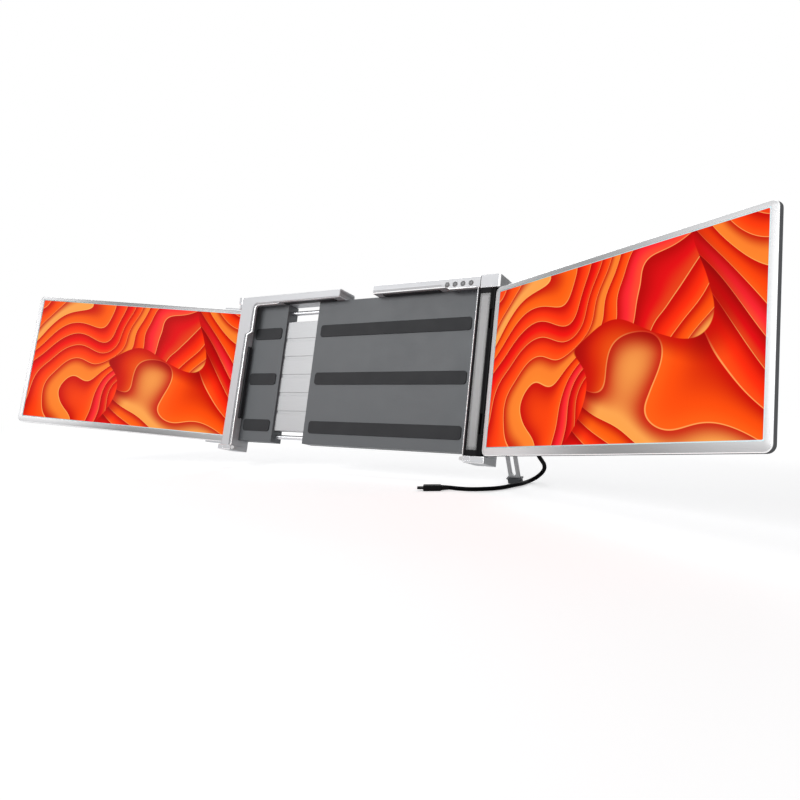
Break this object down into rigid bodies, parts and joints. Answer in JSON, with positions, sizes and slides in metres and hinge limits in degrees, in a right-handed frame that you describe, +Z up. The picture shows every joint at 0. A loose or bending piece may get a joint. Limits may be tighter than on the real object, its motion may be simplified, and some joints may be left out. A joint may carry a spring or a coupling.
{
  "type": "laptop screen extender",
  "caption": "Fold-out side screens on a telescoping frame that hangs over a laptop lid, with a kickstand and a free cable.",
  "frame": {"origin": "front face of the middle lid pad, on the laptop's middle line", "axes": "+X to the user's right along the frame, +Y to the back, +Z up; the frame and the hinge axes lean back 14 degrees with the lid"},
  "size_m": [0.9847, 0.2184, 0.2537],
  "materials": {
    "bracket_silver": "bead-blasted, satin",
    "bezel_silver": "satin",
    "housing_grey": "fine moulded grain",
    "shell_slate": "satin paint",
    "display": "glossy display glass over a lit picture",
    "inner_metal": "plain",
    "light_guide": "plain",
    "board_green": "solder mask",
    "pin_steel": "brushed",
    "black_plastic": "fine matt",
    "gloss_black": "glossy",
    "gloss_grey": "glossy",
    "white_plastic": "satin",
    "rubber_grey": "matt rubber",
    "bush_bronze": "plain",
    "cable_black": "satin jacket"
  },
  "bodies": {
    "main_frame": {"main_housing": "housing_grey", "rear_cover": "housing_grey", "right_bracket": "bracket_silver", "right_top_cap": "bracket_silver", "right_bottom_cap": "bracket_silver", "right_arm_plug": "black_plastic", "lid_pad": "rubber_grey", "right_top_pad": "rubber_grey", "guide_bushes": "bush_bronze", "tongue_glides": "white_plastic", "main_board": "board_green", "button_board": "board_green", "usb_c_port": "pin_steel", "cover_screws": "pin_steel", "kickstand_bracket": "shell_slate", "kickstand_pin": "pin_steel", "column_pins": "pin_steel", "cable": "cable_black", "near_plug": "black_plastic", "near_relief": "black_plastic", "far_plug": "black_plastic", "far_relief": "black_plastic"},
    "left_half": {"left_bracket": "bracket_silver", "left_housing": "housing_grey", "left_rear_cover": "housing_grey", "slide_tongue": "inner_metal", "guide_rods": "pin_steel", "left_top_cap": "bracket_silver", "left_bottom_cap": "bracket_silver", "left_arm_plug": "black_plastic", "left_pads": "rubber_grey", "left_hinge_pins": "pin_steel", "left_cover_screws": "pin_steel"},
    "left_screen": {"left_bezel": "bezel_silver", "left_panel": "display", "left_backlight": "light_guide", "left_driver_board": "board_green", "left_rear_shell": "shell_slate", "left_hinge_ears": "bracket_silver", "left_screen_screws": "pin_steel"},
    "hinge_link": {"hinge_column": "gloss_black", "column_cover": "gloss_grey", "right_hinge_pins": "pin_steel"},
    "right_screen": {"right_bezel": "bezel_silver", "right_panel": "display", "right_backlight": "light_guide", "right_driver_board": "board_green", "right_rear_shell": "shell_slate", "right_hinge_knuckles": "black_plastic", "right_screen_screws": "pin_steel"},
    "kickstand": {"kickstand_leg": "pin_steel", "kickstand_foot": "rubber_grey", "kickstand_washers": "white_plastic"},
    "left_lid_catch": {"left_catch": "white_plastic"},
    "right_lid_catch": {"right_catch": "white_plastic"},
    "power_key": {"power_button": "black_plastic"},
    "menu_key": {"menu_button": "black_plastic"},
    "minus_key": {"minus_button": "black_plastic"},
    "plus_key": {"plus_button": "black_plastic"}
  },
  "joints": [
    {"name": "frame_slide", "type": "slide", "parent": "main_frame", "child": "left_half", "axis": [-1, 0, 0], "range_m": [-0.05, 0.04]},
    {"name": "left_screen_fold", "type": "hinge", "parent": "left_half", "child": "left_screen", "pos_m": [-0.1985, -0.00752, 0.00703], "axis": [0, 0.2419, 0.9703], "range_deg": [-24, 156]},
    {"name": "right_column_fold", "type": "hinge", "parent": "main_frame", "child": "hinge_link", "pos_m": [0.181, -0.00607, 0.00667], "axis": [0, -0.2419, -0.9703], "range_deg": [0, 90]},
    {"name": "right_screen_fold", "type": "hinge", "parent": "hinge_link", "child": "right_screen", "pos_m": [0.1968, -0.00607, 0.00667], "axis": [0, -0.2419, -0.9703], "range_deg": [-26, 64]},
    {"name": "kickstand_fold", "type": "hinge", "parent": "main_frame", "child": "kickstand", "pos_m": [0.218, -0.00068, -0.073], "axis": [1, 0, 0], "range_deg": [-5, 146]},
    {"name": "left_catch_slide", "type": "slide", "parent": "left_half", "child": "left_lid_catch", "axis": [-1, 0, 0], "range_m": [0, 0.003]},
    {"name": "right_catch_slide", "type": "slide", "parent": "main_frame", "child": "right_lid_catch", "axis": [1, 0, 0], "range_m": [0, 0.003]},
    {"name": "power_press", "type": "slide", "parent": "main_frame", "child": "power_key", "axis": [0, 0.9703, -0.2419], "range_m": [0, 0.0005], "stiffness_N_per_m": 600, "springref_m": -0.001},
    {"name": "menu_press", "type": "slide", "parent": "main_frame", "child": "menu_key", "axis": [0, 0.9703, -0.2419], "range_m": [0, 0.0005], "stiffness_N_per_m": 600, "springref_m": -0.001},
    {"name": "minus_press", "type": "slide", "parent": "main_frame", "child": "minus_key", "axis": [0, 0.9703, -0.2419], "range_m": [0, 0.0005], "stiffness_N_per_m": 600, "springref_m": -0.001},
    {"name": "plus_press", "type": "slide", "parent": "main_frame", "child": "plus_key", "axis": [0, 0.9703, -0.2419], "range_m": [0, 0.0005], "stiffness_N_per_m": 600, "springref_m": -0.001}
  ]
}
